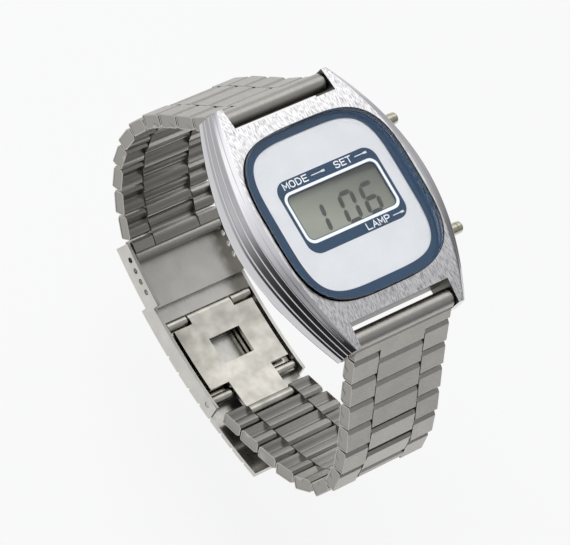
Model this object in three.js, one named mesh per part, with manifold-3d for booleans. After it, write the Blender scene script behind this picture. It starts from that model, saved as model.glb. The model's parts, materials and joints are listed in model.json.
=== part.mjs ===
// Digital wristwatch with a folded-link steel bracelet and a three-fold clasp.
// Millimetres. +Z points out of the crystal, +Y to 12 o'clock, +X to 3 o'clock.
// The origin is the centre of the case back's flat outer face.

import * as THREE from 'three';
import { mergeVertices } from 'three/addons/utils/BufferGeometryUtils.js';
import Module from 'manifold-3d';

const wasm = await Module();
wasm.setup();

// Case
const CASE_TOP = 8.6;
const BELLY_BOTTOM = 1.0;
const BELLY_HEIGHT = 1.5;
const BELLY_MARGIN = 0.65;
const FLANGE_BOTTOM = 2.1;
const TIP_BOTTOM_RISE = 1.0;
const TOP_DROP = 1.2;
const LUG_REACH = 18.6;
const TOP_HALF_WIDTH = 14.35;
const TIP_HALF_WIDTH = 10.35;
const FLANK_SPREAD = 1.65;
const TIP_SPREAD_SHARE = 0.42;
const SLOT_WIDTH = 18;
const SLOT_SPACE = 0.85;
const CAVITY_HALF = 12.25;
const CUSHION_POWER = 3.5;
const SEAT_DEPTH = 1.35;

// Crystal, gasket and printed plate
const CRYSTAL_HALF = 12.95;
const CRYSTAL_TALL_SHARE = 0.985;
const CRYSTAL_PROUD = 0.4;
const CRYSTAL_BEVEL = 0.35;
const GASKET_WALL = 0.32;
const GASKET_SINK = 0.25;
const FIT_GAP = 0.05;
const MASK_THICKNESS = 0.2;
const MASK_GAP = 0.1;
const WINDOW_WIDTH = 15.8;
const WINDOW_HEIGHT = 6.8;
const WINDOW_CORNER = 0.9;
const WINDOW_RISE = 0.6;
const WINDOW_SHIFT = 0.45;

// Module
const GLASS_MARGIN_X = 0.7;
const GLASS_MARGIN_Y = 1.4;
const GLASS_THICKNESS = 1.5;
const REFLECTOR_INSET_X = 0.3;
const REFLECTOR_INSET_Y = 1.7;
const REFLECTOR_THICKNESS = 0.2;
const STRIP_WIDTH = 1.1;
const STRIP_INSET = 0.6;
const FRAME_GAP_Y = 0.7;
const FRAME_THICKNESS = 2.75;
const BOARD_THICKNESS = 0.5;
const MODULE_GAP = 0.1;
const MODULE_SIDE_GAP = 0.2;
const CHIP_SIDE = 5;
const CHIP_THICKNESS = 0.8;
const CHIP_X = 5.8;
const CHIP_Y = 4.6;
const CAN_RADIUS = 0.9;
const CAN_LENGTH = 6;
const CAN_X = 3.0;
const CAN_Y = -6.0;
const TRIMMER_RADIUS = 1.3;
const TRIMMER_HEIGHT = 0.9;
const TRIMMER_X = 8.2;
const TRIMMER_Y = -1.3;
const LAMP_RADIUS = 0.5;
const LAMP_LENGTH = 4;
const CELL_RADIUS = 5.8;
const CELL_HEIGHT = 2.1;
const CELL_STEP = 0.3;
const CELL_X = -4.6;
const CELL_Y = -3.6;
const CLAMP_THICKNESS = 0.12;
const CLAMP_WIDTH = 4;

// Case back
const BACK_HALF = 13.2;
const BACK_THICKNESS = 0.95;
const SPIGOT_HEIGHT = 0.9;
const SPIGOT_WALL = 0.6;
const BACK_GASKET_HEIGHT = 0.4;
const BACK_GASKET_WALL = 0.5;
const BACK_CHAMFER = 0.3;

// Push buttons
const BUTTON_Y = 8.8;
const BUTTON_DEPTH = 3.5;
const BUTTON_PROUD = 3.25;
const BUTTON_HEAD_RADIUS = 1.0;
const BUTTON_HEAD_LENGTH = 3.6;
const BUTTON_EDGE = 0.2;
const BUTTON_TRAVEL = 0.6;
const STEM_RADIUS = 0.5;
const STEM_GAP = 0.12;
const WALL_AT_BUTTON = 0.8;
const COUNTERBORE_SPACE = 1.6;
const COUNTERBORE_GAP = 0.15;
const SPRING_FREE = 0.85;
const SPRING_WALL = 0.3;
const CLIP_THICKNESS = 0.25;
const CLIP_RADIUS = 1.1;
const POCKET_RADIUS = 1.7;
const STEM_INSIDE = 1.2;

// Bracelet
const PITCH = 3.85;
const END_PITCH = 5.6;
const LINK_THICKNESS = 2.0;
const LINK_HALF_AT_CASE = 8.75;
const LINK_HALF_AT_CLASP = 7.7;
const CENTRE_HALF = 4.1;
const SEAM = 0.3;
const COLUMN_GAP = 0.15;
const BEVEL_ALONG = 0.55;
const BEVEL_DEEP = 0.32;
const EDGE_BREAK = 0.14;
const INNER_BREAK = 0.35;
const PIN_RADIUS = 0.45;
const PIN_GAP = 0.15;
const LINK_PIN_ANCHOR = 0.5;
const WEB_SINK = 0.35;
const BARREL_RADIUS = 1.35;
const BARREL_BORE = 0.85;
const BARREL_DROP = 2.7;
const BARREL_REACH = 17.2;
const SPRING_BAR_RADIUS = 0.7;
const SPRING_BAR_TIP_RADIUS = 0.4;
const SPRING_BAR_TIP = 0.75;
const SPRING_BAR_HOLE_DEPTH = 0.9;

// Headings in degrees of each step from pin to pin, below the horizon, from the lug to the clasp
const HEADINGS_12 = [65, 60, 60, 65, 79, 94, 109, 124, 136, 146, 158];
const HEADINGS_6 = [57, 55, 54, 54, 60, 73, 98, 124, 142, 150, 152, 153];

// Clasp
const CLASP_RADIUS = 80;
const COVER_THICKNESS = 0.8;
const COVER_SIDE_GAP = 0.25;
const COVER_WALL = 0.5;
const COVER_WALL_DEPTH = 3.0;
const STEP_IN = 1.2;
const ADJUST_CLEARANCE = 0.25;
const ADJUST_BARREL_RADIUS = 1.0;
const ADJUST_BAR_RADIUS = 0.45;
const ADJUST_WALL_BELOW = 1.0;
const ADJUST_HOLES = 4;
const ADJUST_HOLE_STEP = 1.75;
const ADJUST_END_MARGIN = 2.4;
const BLADE_THICKNESS = 0.6;
const BLADE_GAP = 0.3;
const BLADE_SPACE = 0.65;
const INNER_MARGIN = 0.4;
const TONGUE_HALF = 3.95;
const HINGE_RADIUS = 0.8;
const HINGE_PIN_RADIUS = 0.4;
const HINGE_BORE_GAP = 0.12;
const HINGE_SIDE_GAP = 0.3;
const END_PIN_DEPTH = 2.6;
const LIP_REACH = 8.3;
const FAR_HINGE_FROM_END = 4.0;
const NEAR_HINGE_FROM_ADJUST = 11.2;
const STEP_FROM_ADJUST = 7.1;
const WALL_FROM_FAR_HINGE = 1.6;
const COVER_GROOVE_PITCH = 2.7;
const COVER_GROOVE_WIDTH = 0.35;
const COVER_GROOVE_DEPTH = 0.3;
const COVER_GROOVES = 8;
const COVER_GROOVE_START = 2.4;
const COVER_CENTRE_HALF = 4.3;
const BLADE_WINDOW_HALF = 2.8;
const BLADE_WINDOW_LENGTH = 4.4;

// One overrun for every cut, and the number of sides of round pieces
const OVERRUN = 2;
const PIN_SIDES = 14;
const BARREL_SIDES = 24;
const CUSHION_STEPS = 44;
const CELL_SIDES = 36;
const WELD = 1e-5;

const rad = THREE.MathUtils.degToRad;

const finish = (color, roughness, metalness) =>
  new THREE.MeshStandardMaterial({ color, roughness, metalness });

const BRIGHT = finish(0xd4d2cc, 0.12, 1);
const BRUSHED = finish(0xa8a59c, 0.35, 1);
const BUTTON_METAL = finish(0xb8b39a, 0.25, 1);
const SPRING_STEEL = finish(0x8d8f90, 0.3, 1);
const CRYSTAL_GLASS = finish(0xdfe6e6, 0.04, 0);
const RUBBER = finish(0x1b1c1e, 0.8, 0);
const PRINT = finish(0x34495f, 0.4, 0);
const LCD_GLASS = finish(0x8a8f82, 0.2, 0);
const FOIL = finish(0xc9cac6, 0.3, 1);
const ELASTOMER = finish(0xc78f92, 0.7, 0);
const MOULDING = finish(0x2c2d2b, 0.6, 0);
const LAMINATE = finish(0x2f5d3a, 0.5, 0);
const EPOXY = finish(0x141416, 0.4, 0);
const BRASS = finish(0xb99a4e, 0.3, 1);

const group = new THREE.Group();

// Solids

function toSolid(geometry) {
  const bare = geometry.clone();
  bare.deleteAttribute('normal');
  bare.deleteAttribute('uv');
  const merged = mergeVertices(bare, WELD);
  return new wasm.Manifold(
    new wasm.Mesh({
      numProp: 3,
      vertProperties: new Float32Array(merged.attributes.position.array),
      triVerts: new Uint32Array(merged.index.array),
    }),
  );
}

function toGeometry(solid) {
  const { vertProperties, triVerts } = solid.getMesh();
  const geometry = new THREE.BufferGeometry();
  geometry.setAttribute('position', new THREE.BufferAttribute(new Float32Array(vertProperties), 3));
  geometry.setIndex(new THREE.BufferAttribute(new Uint32Array(triVerts), 1));
  geometry.computeVertexNormals();
  return geometry;
}

const join = (...solids) => solids.reduce((whole, solid) => whole.add(solid));
const cut = (body, ...tools) => tools.reduce((rest, tool) => rest.subtract(tool), body);

function addMesh(name, solid, material, place) {
  const mesh = new THREE.Mesh(toGeometry(solid), material);
  mesh.name = name;
  if (place) {
    mesh.position.set(0, place.y, place.z);
    mesh.rotation.x = place.angle;
  }
  group.add(mesh);
}

const shapeOf = (points) => new THREE.Shape(points.map(([a, b]) => new THREE.Vector2(a, b)));

// A plan outline standing on z0 and reaching to z1
function plate(points, z0, z1) {
  const geometry = new THREE.ExtrudeGeometry(shapeOf(points), { depth: z1 - z0, bevelEnabled: false });
  geometry.translate(0, 0, z0);
  return toSolid(geometry);
}

// A side outline of (y, z) points running from x0 to x1
function prism(points, x0, x1) {
  const geometry = new THREE.ExtrudeGeometry(shapeOf(points), { depth: x1 - x0, bevelEnabled: false });
  const axes = new THREE.Matrix4().makeBasis(
    new THREE.Vector3(0, 1, 0),
    new THREE.Vector3(0, 0, 1),
    new THREE.Vector3(1, 0, 0),
  );
  geometry.applyMatrix4(axes);
  geometry.translate(x0, 0, 0);
  return toSolid(geometry);
}

// A round bar along X, its axis at (y, z)
function rod(radius, x0, x1, y, z, sides = PIN_SIDES) {
  const geometry = new THREE.CylinderGeometry(radius, radius, x1 - x0, sides);
  geometry.rotateZ(Math.PI / 2);
  geometry.translate((x0 + x1) / 2, y, z);
  return toSolid(geometry);
}

// A round disc standing on z0
function disc(radius, x, y, z0, z1, sides = BARREL_SIDES) {
  const geometry = new THREE.CylinderGeometry(radius, radius, z1 - z0, sides);
  geometry.rotateX(Math.PI / 2);
  geometry.translate(x, y, (z0 + z1) / 2);
  return toSolid(geometry);
}

function block(width, depth, x, y, z0, z1) {
  const geometry = new THREE.BoxGeometry(width, depth, z1 - z0);
  geometry.translate(x, y, (z0 + z1) / 2);
  return toSolid(geometry);
}

// A turned piece along X: pairs of [x, radius] from one end on the axis to the other
function turned(profile, y, z, sides = BARREL_SIDES) {
  const points = profile.map(([x, r]) => new THREE.Vector2(r, x));
  const geometry = new THREE.LatheGeometry(points, sides);
  geometry.rotateZ(-Math.PI / 2);
  geometry.translate(0, y, z);
  return toSolid(geometry);
}

// A square with bulging sides and round corners
function cushion(halfWidth, halfHeight) {
  const power = 2 / CUSHION_POWER;
  return Array.from({ length: CUSHION_STEPS }, (_, i) => {
    const turn = (2 * Math.PI * i) / CUSHION_STEPS;
    const c = Math.cos(turn);
    const s = Math.sin(turn);
    return [
      halfWidth * Math.sign(c) * Math.abs(c) ** power,
      halfHeight * Math.sign(s) * Math.abs(s) ** power,
    ];
  });
}

const cushionPlate = (half, z0, z1) => plate(cushion(half, half * CRYSTAL_TALL_SHARE), z0, z1);

function roundedRectangle(width, height, corner, x, y) {
  const points = [];
  const steps = 5;
  const quarters = [[1, 1, 0], [-1, 1, 1], [-1, -1, 2], [1, -1, 3]];
  for (const [sx, sy, quarter] of quarters) {
    for (let i = 0; i <= steps; i++) {
      const turn = ((quarter + i / steps) * Math.PI) / 2;
      points.push([
        x + sx * (width / 2 - corner) + corner * Math.cos(turn),
        y + sy * (height / 2 - corner) + corner * Math.sin(turn),
      ]);
    }
  }
  return points;
}

// Case heights
const seatZ = CASE_TOP - SEAT_DEPTH;
const crystalTop = CASE_TOP + CRYSTAL_PROUD;
const recessHalf = CRYSTAL_HALF + GASKET_WALL + 2 * FIT_GAP;
const buttonZ = CASE_TOP - BUTTON_DEPTH;
const barZ = CASE_TOP - BARREL_DROP;
const buttonEnd = TOP_HALF_WIDTH + BUTTON_PROUD;
const headBase = buttonEnd - BUTTON_HEAD_LENGTH;
const boreFloor = headBase - COUNTERBORE_SPACE;
const innerWall = boreFloor - WALL_AT_BUTTON;

// Flank of the case at its middle, from the top edge to the flange: share of the spread
// outwards, and share of the height downwards. Three ribs with grooves, then a plain flange.
const FLANK_SHARES = [
  [0, 0], [0.2, 0.1], [0.12, 0.155], [0.42, 0.2], [0.45, 0.3], [0.33, 0.345],
  [0.66, 0.39], [0.7, 0.49], [0.56, 0.535], [0.92, 0.6], [1, 0.82], [0.8, 1],
];

function caseSection(y) {
  const along = Math.abs(y) / LUG_REACH;
  const top = CASE_TOP - TOP_DROP * along ** 2.5;
  const bottom = FLANGE_BOTTOM + TIP_BOTTOM_RISE * along ** 3;
  const half = TOP_HALF_WIDTH - (TOP_HALF_WIDTH - TIP_HALF_WIDTH) * along ** 2;
  const spread = FLANK_SPREAD * (1 - (1 - TIP_SPREAD_SHARE) * along ** 1.5);
  const right = FLANK_SHARES.map(([out, down]) => [half + spread * out, top - (top - bottom) * down]);
  const left = right.map(([x, z]) => [-x, z]).reverse();
  return [...right, ...left].reverse();
}

// Skin through the sections at each station along the 12 to 6 line, closed at both ends
function caseLoft() {
  const stations = 28;
  const positions = [];
  const index = [];
  const count = FLANK_SHARES.length * 2;
  for (let i = 0; i <= stations; i++) {
    const y = -LUG_REACH * Math.cos((Math.PI * i) / stations);
    for (const [x, z] of caseSection(y)) positions.push(x, y, z);
  }
  for (let i = 0; i < stations; i++) {
    for (let j = 0; j < count; j++) {
      const a = i * count + j;
      const b = i * count + ((j + 1) % count);
      index.push(a, a + count, b, b, a + count, b + count);
    }
  }
  const ends = THREE.ShapeUtils.triangulateShape(
    caseSection(LUG_REACH).map(([x, z]) => new THREE.Vector2(x, z)), []);
  const last = stations * count;
  for (const [a, b, c] of ends) {
    index.push(a, b, c);
    index.push(last + a, last + c, last + b);
  }
  const geometry = new THREE.BufferGeometry();
  geometry.setAttribute('position', new THREE.Float32BufferAttribute(positions, 3));
  geometry.setIndex(index);
  return toSolid(geometry);
}

function makeCase() {
  const farZ = crystalTop + OVERRUN;
  const bellyHalf = BACK_HALF + BELLY_MARGIN;
  let body = join(caseLoft(), cushionPlate(bellyHalf, BELLY_BOTTOM, BELLY_BOTTOM + BELLY_HEIGHT));
  const slotWall = BARREL_REACH - BARREL_RADIUS - SLOT_SPACE;
  const slotLength = LUG_REACH - slotWall + OVERRUN;
  const recess = plate(cushion(recessHalf, recessHalf * CRYSTAL_TALL_SHARE), seatZ, farZ);
  const cavity = cushionPlate(CAVITY_HALF, -OVERRUN, seatZ + OVERRUN);
  const rebateHalf = CAVITY_HALF + BACK_GASKET_WALL + FIT_GAP;
  const rebate = cushionPlate(rebateHalf, -OVERRUN, BELLY_BOTTOM + BACK_GASKET_HEIGHT + FIT_GAP);
  body = cut(body, recess, cavity, rebate);
  for (const side of [1, -1]) {
    const slotY = side * (slotWall + slotLength / 2);
    const holeEnd = SLOT_WIDTH / 2 + SPRING_BAR_HOLE_DEPTH;
    const holeRadius = SPRING_BAR_TIP_RADIUS + FIT_GAP;
    body = cut(
      body,
      block(SLOT_WIDTH, slotLength, 0, slotY, -OVERRUN, farZ),
      rod(holeRadius, -holeEnd, holeEnd, side * BARREL_REACH, barZ),
      rod(STEM_RADIUS + STEM_GAP, innerWall - OVERRUN, buttonEnd, side * BUTTON_Y, buttonZ),
      rod(BUTTON_HEAD_RADIUS + COUNTERBORE_GAP, boreFloor, buttonEnd + OVERRUN,
        side * BUTTON_Y, buttonZ, BARREL_SIDES),
      rod(POCKET_RADIUS, innerWall - OVERRUN, innerWall, side * BUTTON_Y, buttonZ, BARREL_SIDES),
    );
  }
  addMesh('case_body', body, BRIGHT);
}

function makeCrystal() {
  const outline = (half) => cushion(half, half * CRYSTAL_TALL_SHARE);
  const geometry = new THREE.ExtrudeGeometry(shapeOf(outline(CRYSTAL_HALF - CRYSTAL_BEVEL)), {
    depth: crystalTop - seatZ - FIT_GAP - 2 * CRYSTAL_BEVEL,
    bevelSize: CRYSTAL_BEVEL,
    bevelThickness: CRYSTAL_BEVEL,
    bevelSegments: 1,
  });
  geometry.translate(0, 0, seatZ + FIT_GAP + CRYSTAL_BEVEL);
  addMesh('crystal', toSolid(geometry), CRYSTAL_GLASS);

  const ringInner = CRYSTAL_HALF + FIT_GAP;
  const ringTop = CASE_TOP - TOP_DROP * (CRYSTAL_HALF / LUG_REACH) ** 2.5 - GASKET_SINK;
  const ring = cut(
    plate(outline(ringInner + GASKET_WALL), seatZ + FIT_GAP, ringTop),
    plate(outline(ringInner), seatZ - OVERRUN, crystalTop),
  );
  addMesh('crystal_gasket', ring, RUBBER);
}

// Module, from the printed plate down to the battery
const maskTop = seatZ - MASK_GAP;
const glassTop = maskTop - MASK_THICKNESS - MODULE_GAP;
const glassBottom = glassTop - GLASS_THICKNESS;
const frameTop = glassTop;
const frameBottom = frameTop - FRAME_THICKNESS;
const boardTop = frameBottom - MODULE_GAP;
const boardBottom = boardTop - BOARD_THICKNESS;
const moduleHalf = CAVITY_HALF - MODULE_SIDE_GAP;
const glassWidth = WINDOW_WIDTH + 2 * GLASS_MARGIN_X;
const glassHeight = WINDOW_HEIGHT + 2 * GLASS_MARGIN_Y;
const lampSpace = 2 * (LAMP_RADIUS + MODULE_SIDE_GAP);

function makeDisplay() {
  const window = roundedRectangle(WINDOW_WIDTH, WINDOW_HEIGHT, WINDOW_CORNER, WINDOW_SHIFT, WINDOW_RISE);
  const mask = cut(
    cushionPlate(moduleHalf, maskTop - MASK_THICKNESS, maskTop),
    plate(window, seatZ - OVERRUN, crystalTop),
  );
  addMesh('dial_plate', mask, PRINT);
  addMesh('lcd_panel', block(glassWidth, glassHeight, WINDOW_SHIFT, WINDOW_RISE,
    glassBottom, glassTop), LCD_GLASS);
  const foilTop = glassBottom - MODULE_GAP;
  const foilHeight = glassHeight - 2 * REFLECTOR_INSET_Y;
  addMesh('lcd_reflector', block(glassWidth - 2 * REFLECTOR_INSET_X, foilHeight, WINDOW_SHIFT, WINDOW_RISE,
    foilTop - REFLECTOR_THICKNESS, foilTop), FOIL);
  const stripLength = glassWidth - 2 * STRIP_INSET;
  const stripY = (foilHeight + STRIP_WIDTH) / 2 + MODULE_SIDE_GAP;
  for (const [name, side] of [['contact_strip_12', 1], ['contact_strip_6', -1]]) {
    const strip = block(stripLength, STRIP_WIDTH, WINDOW_SHIFT, WINDOW_RISE + side * stripY,
      boardTop + FIT_GAP, glassBottom - FIT_GAP);
    addMesh(name, strip, ELASTOMER);
  }
  const lampX = WINDOW_SHIFT + (glassWidth + lampSpace) / 2;
  const lamp = new THREE.CapsuleGeometry(LAMP_RADIUS, LAMP_LENGTH, 4, PIN_SIDES);
  lamp.translate(lampX, WINDOW_RISE, (glassTop + glassBottom) / 2);
  addMesh('lamp', toSolid(lamp), FOIL);
}

function makeModule() {
  const notchStart = innerWall - STEM_INSIDE - BUTTON_TRAVEL - POCKET_RADIUS / 2;
  let frame = cut(
    cushionPlate(moduleHalf, frameBottom, frameTop),
    block(glassWidth + 2 * lampSpace, glassHeight + 2 * FRAME_GAP_Y, WINDOW_SHIFT, WINDOW_RISE,
      frameBottom - OVERRUN, seatZ),
  );
  let board = cushionPlate(moduleHalf, boardBottom, boardTop);
  for (const side of [1, -1]) {
    const notch = rod(POCKET_RADIUS, notchStart, CAVITY_HALF + OVERRUN, side * BUTTON_Y, buttonZ,
      BARREL_SIDES);
    frame = frame.subtract(notch);
    board = board.subtract(notch);
  }
  addMesh('module_frame', frame, MOULDING);
  addMesh('circuit_board', board, LAMINATE);

  const partTop = boardBottom - FIT_GAP;
  addMesh('driver_chip', block(CHIP_SIDE, CHIP_SIDE, CHIP_X, CHIP_Y, partTop - CHIP_THICKNESS, partTop),
    EPOXY);
  addMesh('quartz_can', rod(CAN_RADIUS, CAN_X, CAN_X + CAN_LENGTH, CAN_Y, partTop - CAN_RADIUS), FOIL);
  addMesh('trimmer', disc(TRIMMER_RADIUS, TRIMMER_X, TRIMMER_Y, partTop - TRIMMER_HEIGHT, partTop), BRASS);

  const cellTop = partTop - FIT_GAP;
  const cellBottom = cellTop - CELL_HEIGHT;
  const cell = join(
    disc(CELL_RADIUS, CELL_X, CELL_Y, cellBottom, cellTop - CELL_STEP, CELL_SIDES),
    disc(CELL_RADIUS - CELL_STEP * 2, CELL_X, CELL_Y, cellTop - CELL_STEP * 2, cellTop, CELL_SIDES),
  );
  addMesh('battery_cell', cell, SPRING_STEEL);
  const clampTop = cellBottom - FIT_GAP;
  addMesh('battery_clamp', block(2 * CELL_RADIUS, CLAMP_WIDTH, CELL_X, CELL_Y,
    clampTop - CLAMP_THICKNESS, clampTop), BRASS);
}

function makeBack() {
  const outline = (half) => cushion(half, half * CRYSTAL_TALL_SHARE);
  const spigotHalf = CAVITY_HALF - 2 * FIT_GAP;
  const backTop = BELLY_BOTTOM - FIT_GAP;
  const geometry = new THREE.ExtrudeGeometry(shapeOf(outline(BACK_HALF - BACK_CHAMFER)), {
    depth: BACK_THICKNESS - 2 * BACK_CHAMFER,
    bevelSize: BACK_CHAMFER,
    bevelThickness: BACK_CHAMFER,
    bevelSegments: 1,
  });
  geometry.translate(0, 0, BACK_CHAMFER);
  const spigot = cut(
    plate(outline(spigotHalf), BACK_THICKNESS / 2, backTop + SPIGOT_HEIGHT),
    plate(outline(spigotHalf - SPIGOT_WALL), BACK_THICKNESS, backTop + SPIGOT_HEIGHT + OVERRUN),
  );
  addMesh('case_back', join(toSolid(geometry), spigot), BRUSHED);
  const ringHalf = CAVITY_HALF + BACK_GASKET_WALL;
  const ring = cut(
    plate(outline(ringHalf), BELLY_BOTTOM, BELLY_BOTTOM + BACK_GASKET_HEIGHT),
    plate(outline(CAVITY_HALF), BELLY_BOTTOM - OVERRUN, BELLY_BOTTOM + OVERRUN),
  );
  addMesh('case_back_gasket', ring, RUBBER);
}

function makeButton(place, side) {
  const y = side * BUTTON_Y;
  const inside = innerWall - STEM_INSIDE;
  const button = turned([
    [inside, 0], [inside, STEM_RADIUS], [headBase, STEM_RADIUS],
    [headBase, BUTTON_HEAD_RADIUS], [buttonEnd - BUTTON_EDGE, BUTTON_HEAD_RADIUS],
    [buttonEnd, BUTTON_HEAD_RADIUS - BUTTON_EDGE], [buttonEnd, 0],
  ], y, buttonZ);
  addMesh(`button_${place}`, button, BUTTON_METAL);
  const ringBore = STEM_RADIUS + FIT_GAP;
  const springStart = boreFloor + FIT_GAP;
  const spring = cut(
    rod(ringBore + SPRING_WALL, springStart, springStart + SPRING_FREE, y, buttonZ),
    rod(ringBore, springStart - OVERRUN, springStart + SPRING_FREE + OVERRUN, y, buttonZ),
  );
  addMesh(`button_spring_${place}`, spring, SPRING_STEEL);
  const clipEnd = innerWall - STEM_GAP;
  const clip = cut(
    rod(CLIP_RADIUS, clipEnd - CLIP_THICKNESS, clipEnd, y, buttonZ),
    rod(ringBore, clipEnd - OVERRUN, clipEnd + OVERRUN, y, buttonZ),
  );
  addMesh(`button_clip_${place}`, clip, SPRING_STEEL);
}

// Bracelet: the pins lie on a path that leaves each spring bar and meets the clasp

function pinPath(headings, side) {
  const pins = [{ y: side * BARREL_REACH, z: barZ }];
  headings.forEach((heading, k) => {
    const step = k === 0 ? END_PITCH : PITCH;
    pins.push({
      y: pins[k].y + side * step * Math.cos(rad(heading)),
      z: pins[k].z - step * Math.sin(rad(heading)),
    });
  });
  return pins;
}

const pins12 = pinPath(HEADINGS_12, 1);
const pins6 = pinPath(HEADINGS_6, -1);
const half = LINK_THICKNESS / 2;
const linkHalf = (share) =>
  LINK_HALF_AT_CASE + (LINK_HALF_AT_CLASP - LINK_HALF_AT_CASE) * share;

// Side view of a folded block: a wide bevel at its case edge, small breaks elsewhere.
// The first number runs along the bracelet, the second points outwards.
function blockOutline(start, end, bevelAlong = BEVEL_ALONG, bevelDeep = BEVEL_DEEP) {
  return [
    [start, half - bevelDeep], [start, INNER_BREAK - half], [start + INNER_BREAK, -half],
    [end - INNER_BREAK, -half], [end, INNER_BREAK - half], [end, half - EDGE_BREAK],
    [end - EDGE_BREAK, half], [start + bevelAlong, half],
  ];
}

const centreEnd = PITCH - half - SEAM;
const sideStart = half + SEAM;
const sideInner = CENTRE_HALF + COLUMN_GAP;

function web(start, end) {
  return block(2 * sideInner + COLUMN_GAP, end - start, 0, (start + end) / 2, WEB_SINK - half, half - WEB_SINK);
}

function sideBlocks(width, start, end) {
  return join(
    prism(blockOutline(start, end), sideInner, width),
    prism(blockOutline(start, end), -width, -sideInner),
  );
}

const linkPin = (pitch) =>
  rod(PIN_RADIUS, -sideInner - LINK_PIN_ANCHOR, sideInner + LINK_PIN_ANCHOR, pitch, 0);

const pinBore = () => rod(PIN_RADIUS + PIN_GAP, -sideInner, sideInner, 0, 0);

// Centre block that holds the pin bore, side blocks that hold the next pin
function makeLink(width) {
  const centre = cut(prism(blockOutline(-half, centreEnd), -CENTRE_HALF, CENTRE_HALF), pinBore());
  return join(
    centre,
    sideBlocks(width, sideStart, PITCH + half),
    web(sideStart + SEAM, centreEnd - SEAM),
    linkPin(PITCH),
  );
}

// First link: a rolled barrel on the spring bar and a plain plate that carries two side blocks
function makeEndLink(width) {
  const start = BARREL_RADIUS - SEAM;
  const plateEnd = END_PITCH - half - SEAM;
  const blockStart = END_PITCH + half + SEAM - PITCH;
  const whole = join(
    rod(BARREL_RADIUS, -width, width, 0, 0, BARREL_SIDES),
    prism(blockOutline(start, plateEnd, EDGE_BREAK, EDGE_BREAK), -CENTRE_HALF, CENTRE_HALF),
    prism(blockOutline(start, blockStart - SEAM, EDGE_BREAK, EDGE_BREAK), -width, width),
    sideBlocks(width, blockStart, END_PITCH + half),
    block(2 * (width - WEB_SINK), 2 * SEAM, 0, blockStart, WEB_SINK - half, half - WEB_SINK),
    web(blockStart + SEAM, plateEnd - SEAM),
    linkPin(END_PITCH),
  );
  return whole.subtract(rod(BARREL_BORE, -width - OVERRUN, width + OVERRUN, 0, 0, BARREL_SIDES));
}

// Last 12 o'clock link: its far end is rolled round the adjusting bar
function makeClaspLink(width) {
  const blockEnd = PITCH - ADJUST_BARREL_RADIUS / 2;
  const centre = cut(prism(blockOutline(-half, blockEnd), -CENTRE_HALF, CENTRE_HALF), pinBore());
  const whole = join(
    centre,
    sideBlocks(width, sideStart, blockEnd),
    web(sideStart + SEAM, blockEnd - SEAM),
    rod(ADJUST_BARREL_RADIUS, -width, width, PITCH, 0, BARREL_SIDES),
  );
  return whole.subtract(
    rod(ADJUST_BAR_RADIUS + PIN_GAP, -width - OVERRUN, width + OVERRUN, PITCH, 0));
}

function makeSpringBar(name, y) {
  const shoulder = LINK_HALF_AT_CASE;
  const end = SLOT_WIDTH / 2 + SPRING_BAR_TIP;
  const bar = turned([
    [-end, 0], [-end, SPRING_BAR_TIP_RADIUS], [-shoulder, SPRING_BAR_TIP_RADIUS],
    [-shoulder, SPRING_BAR_RADIUS], [shoulder, SPRING_BAR_RADIUS],
    [shoulder, SPRING_BAR_TIP_RADIUS], [end, SPRING_BAR_TIP_RADIUS], [end, 0],
  ], y, barZ, PIN_SIDES);
  addMesh(name, bar, SPRING_STEEL);
}

function makeBracelet(hours, side, pins, headings) {
  makeSpringBar(`spring_bar_${hours}`, side * BARREL_REACH);
  headings.forEach((heading, k) => {
    const width = linkHalf(k / headings.length);
    const last = side > 0 && k === headings.length - 1;
    let solid = makeLink(width);
    if (k === 0) solid = makeEndLink(width);
    if (last) solid = makeClaspLink(width);
    if (side < 0) solid = solid.rotate([0, 180, 0]);
    const angle = side > 0 ? -rad(heading) : Math.PI + rad(heading);
    const name = k === 0 ? `end_link_${hours}` : `link_${hours}_${k}`;
    addMesh(name, solid, BRUSHED, { y: pins[k].y, z: pins[k].z, angle });
  });
}

// Clasp: every plate is an arc about one centre, which the two bracelet ends set

const adjustPin = pins12[pins12.length - 1];
const endPin = pins6[pins6.length - 1];
const middleHalf = LINK_HALF_AT_CLASP;
const innerHalf = LINK_HALF_AT_CLASP - INNER_MARGIN;
const coverInside = LINK_HALF_AT_CLASP + COVER_SIDE_GAP;
const coverHalf = coverInside + COVER_WALL;
const plateInner = CLASP_RADIUS - COVER_THICKNESS;
const adjustOuter = CLASP_RADIUS - STEP_IN;
const adjustInner = adjustOuter - COVER_THICKNESS;
const adjustRadius = adjustInner - ADJUST_CLEARANCE - ADJUST_BARREL_RADIUS;
const endRadius = CLASP_RADIUS - END_PIN_DEPTH;

function claspCentre() {
  const dy = adjustPin.y - endPin.y;
  const dz = adjustPin.z - endPin.z;
  const span = Math.hypot(dy, dz);
  const along = (endRadius ** 2 - adjustRadius ** 2 + span ** 2) / (2 * span);
  const rise = Math.sqrt(endRadius ** 2 - along ** 2);
  return {
    y: endPin.y + (dy * along - dz * rise) / span,
    z: endPin.z + (dz * along + dy * rise) / span,
  };
}

const centre = claspCentre();

// Angle about the clasp centre, growing towards 12 o'clock, zero straight down
const angleOf = (p) => Math.atan2(p.y - centre.y, centre.z - p.z);
const polar = (radius, angle) => [
  centre.y + radius * Math.sin(angle),
  centre.z - radius * Math.cos(angle),
];
const turnFor = (length) => length / CLASP_RADIUS;

function arcStrip(outer, inner, from, to, steps = 10) {
  const points = [];
  for (let i = 0; i <= steps; i++) points.push(polar(outer, from + ((to - from) * i) / steps));
  for (let i = steps; i >= 0; i--) points.push(polar(inner, from + ((to - from) * i) / steps));
  return points;
}

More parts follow.
